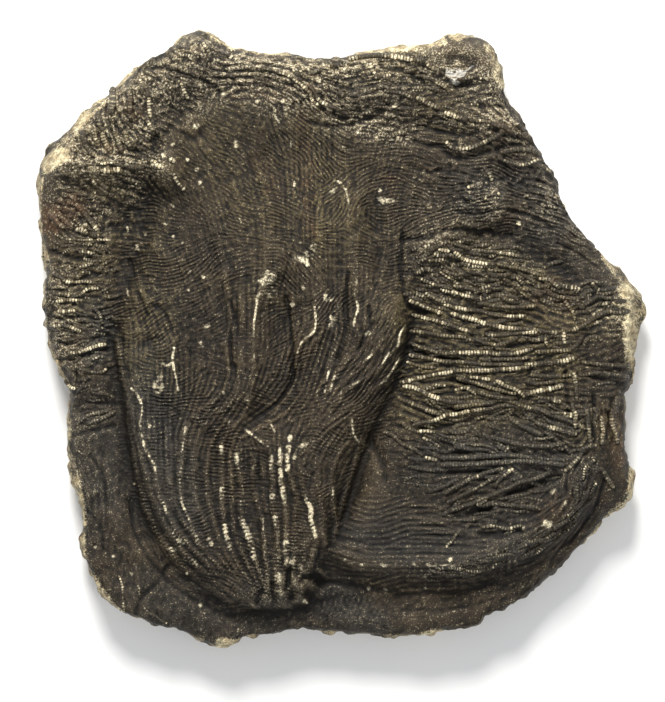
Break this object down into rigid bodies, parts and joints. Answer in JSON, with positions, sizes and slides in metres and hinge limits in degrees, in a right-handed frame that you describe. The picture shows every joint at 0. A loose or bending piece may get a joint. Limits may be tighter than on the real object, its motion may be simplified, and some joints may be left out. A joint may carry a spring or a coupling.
{
  "type": "crinoid fossil slab",
  "caption": "Loose stone slab with a crinoid fossil in relief: a fanned crown of arms beside a curled stem and a bed of segmented cirri, lying on its underside.",
  "frame": {"origin": "middle of the slab's box, on the flat underside", "axes": "+Z out of the fossil face, +Y from the root of the crown towards the tips of its arms, +X from the crown towards the bed of cirri"},
  "size_m": [0.1804, 0.1833, 0.024],
  "materials": {
    "fossil_stone": "dark umber fossil limestone with a slight varnish-like sheen, bronze segmented strands with pale worn crests, and buff limestone on the broken edge"
  },
  "bodies": {
    "root": {"crinoid_slab": "fossil_stone"}
  },
  "joints": []
}
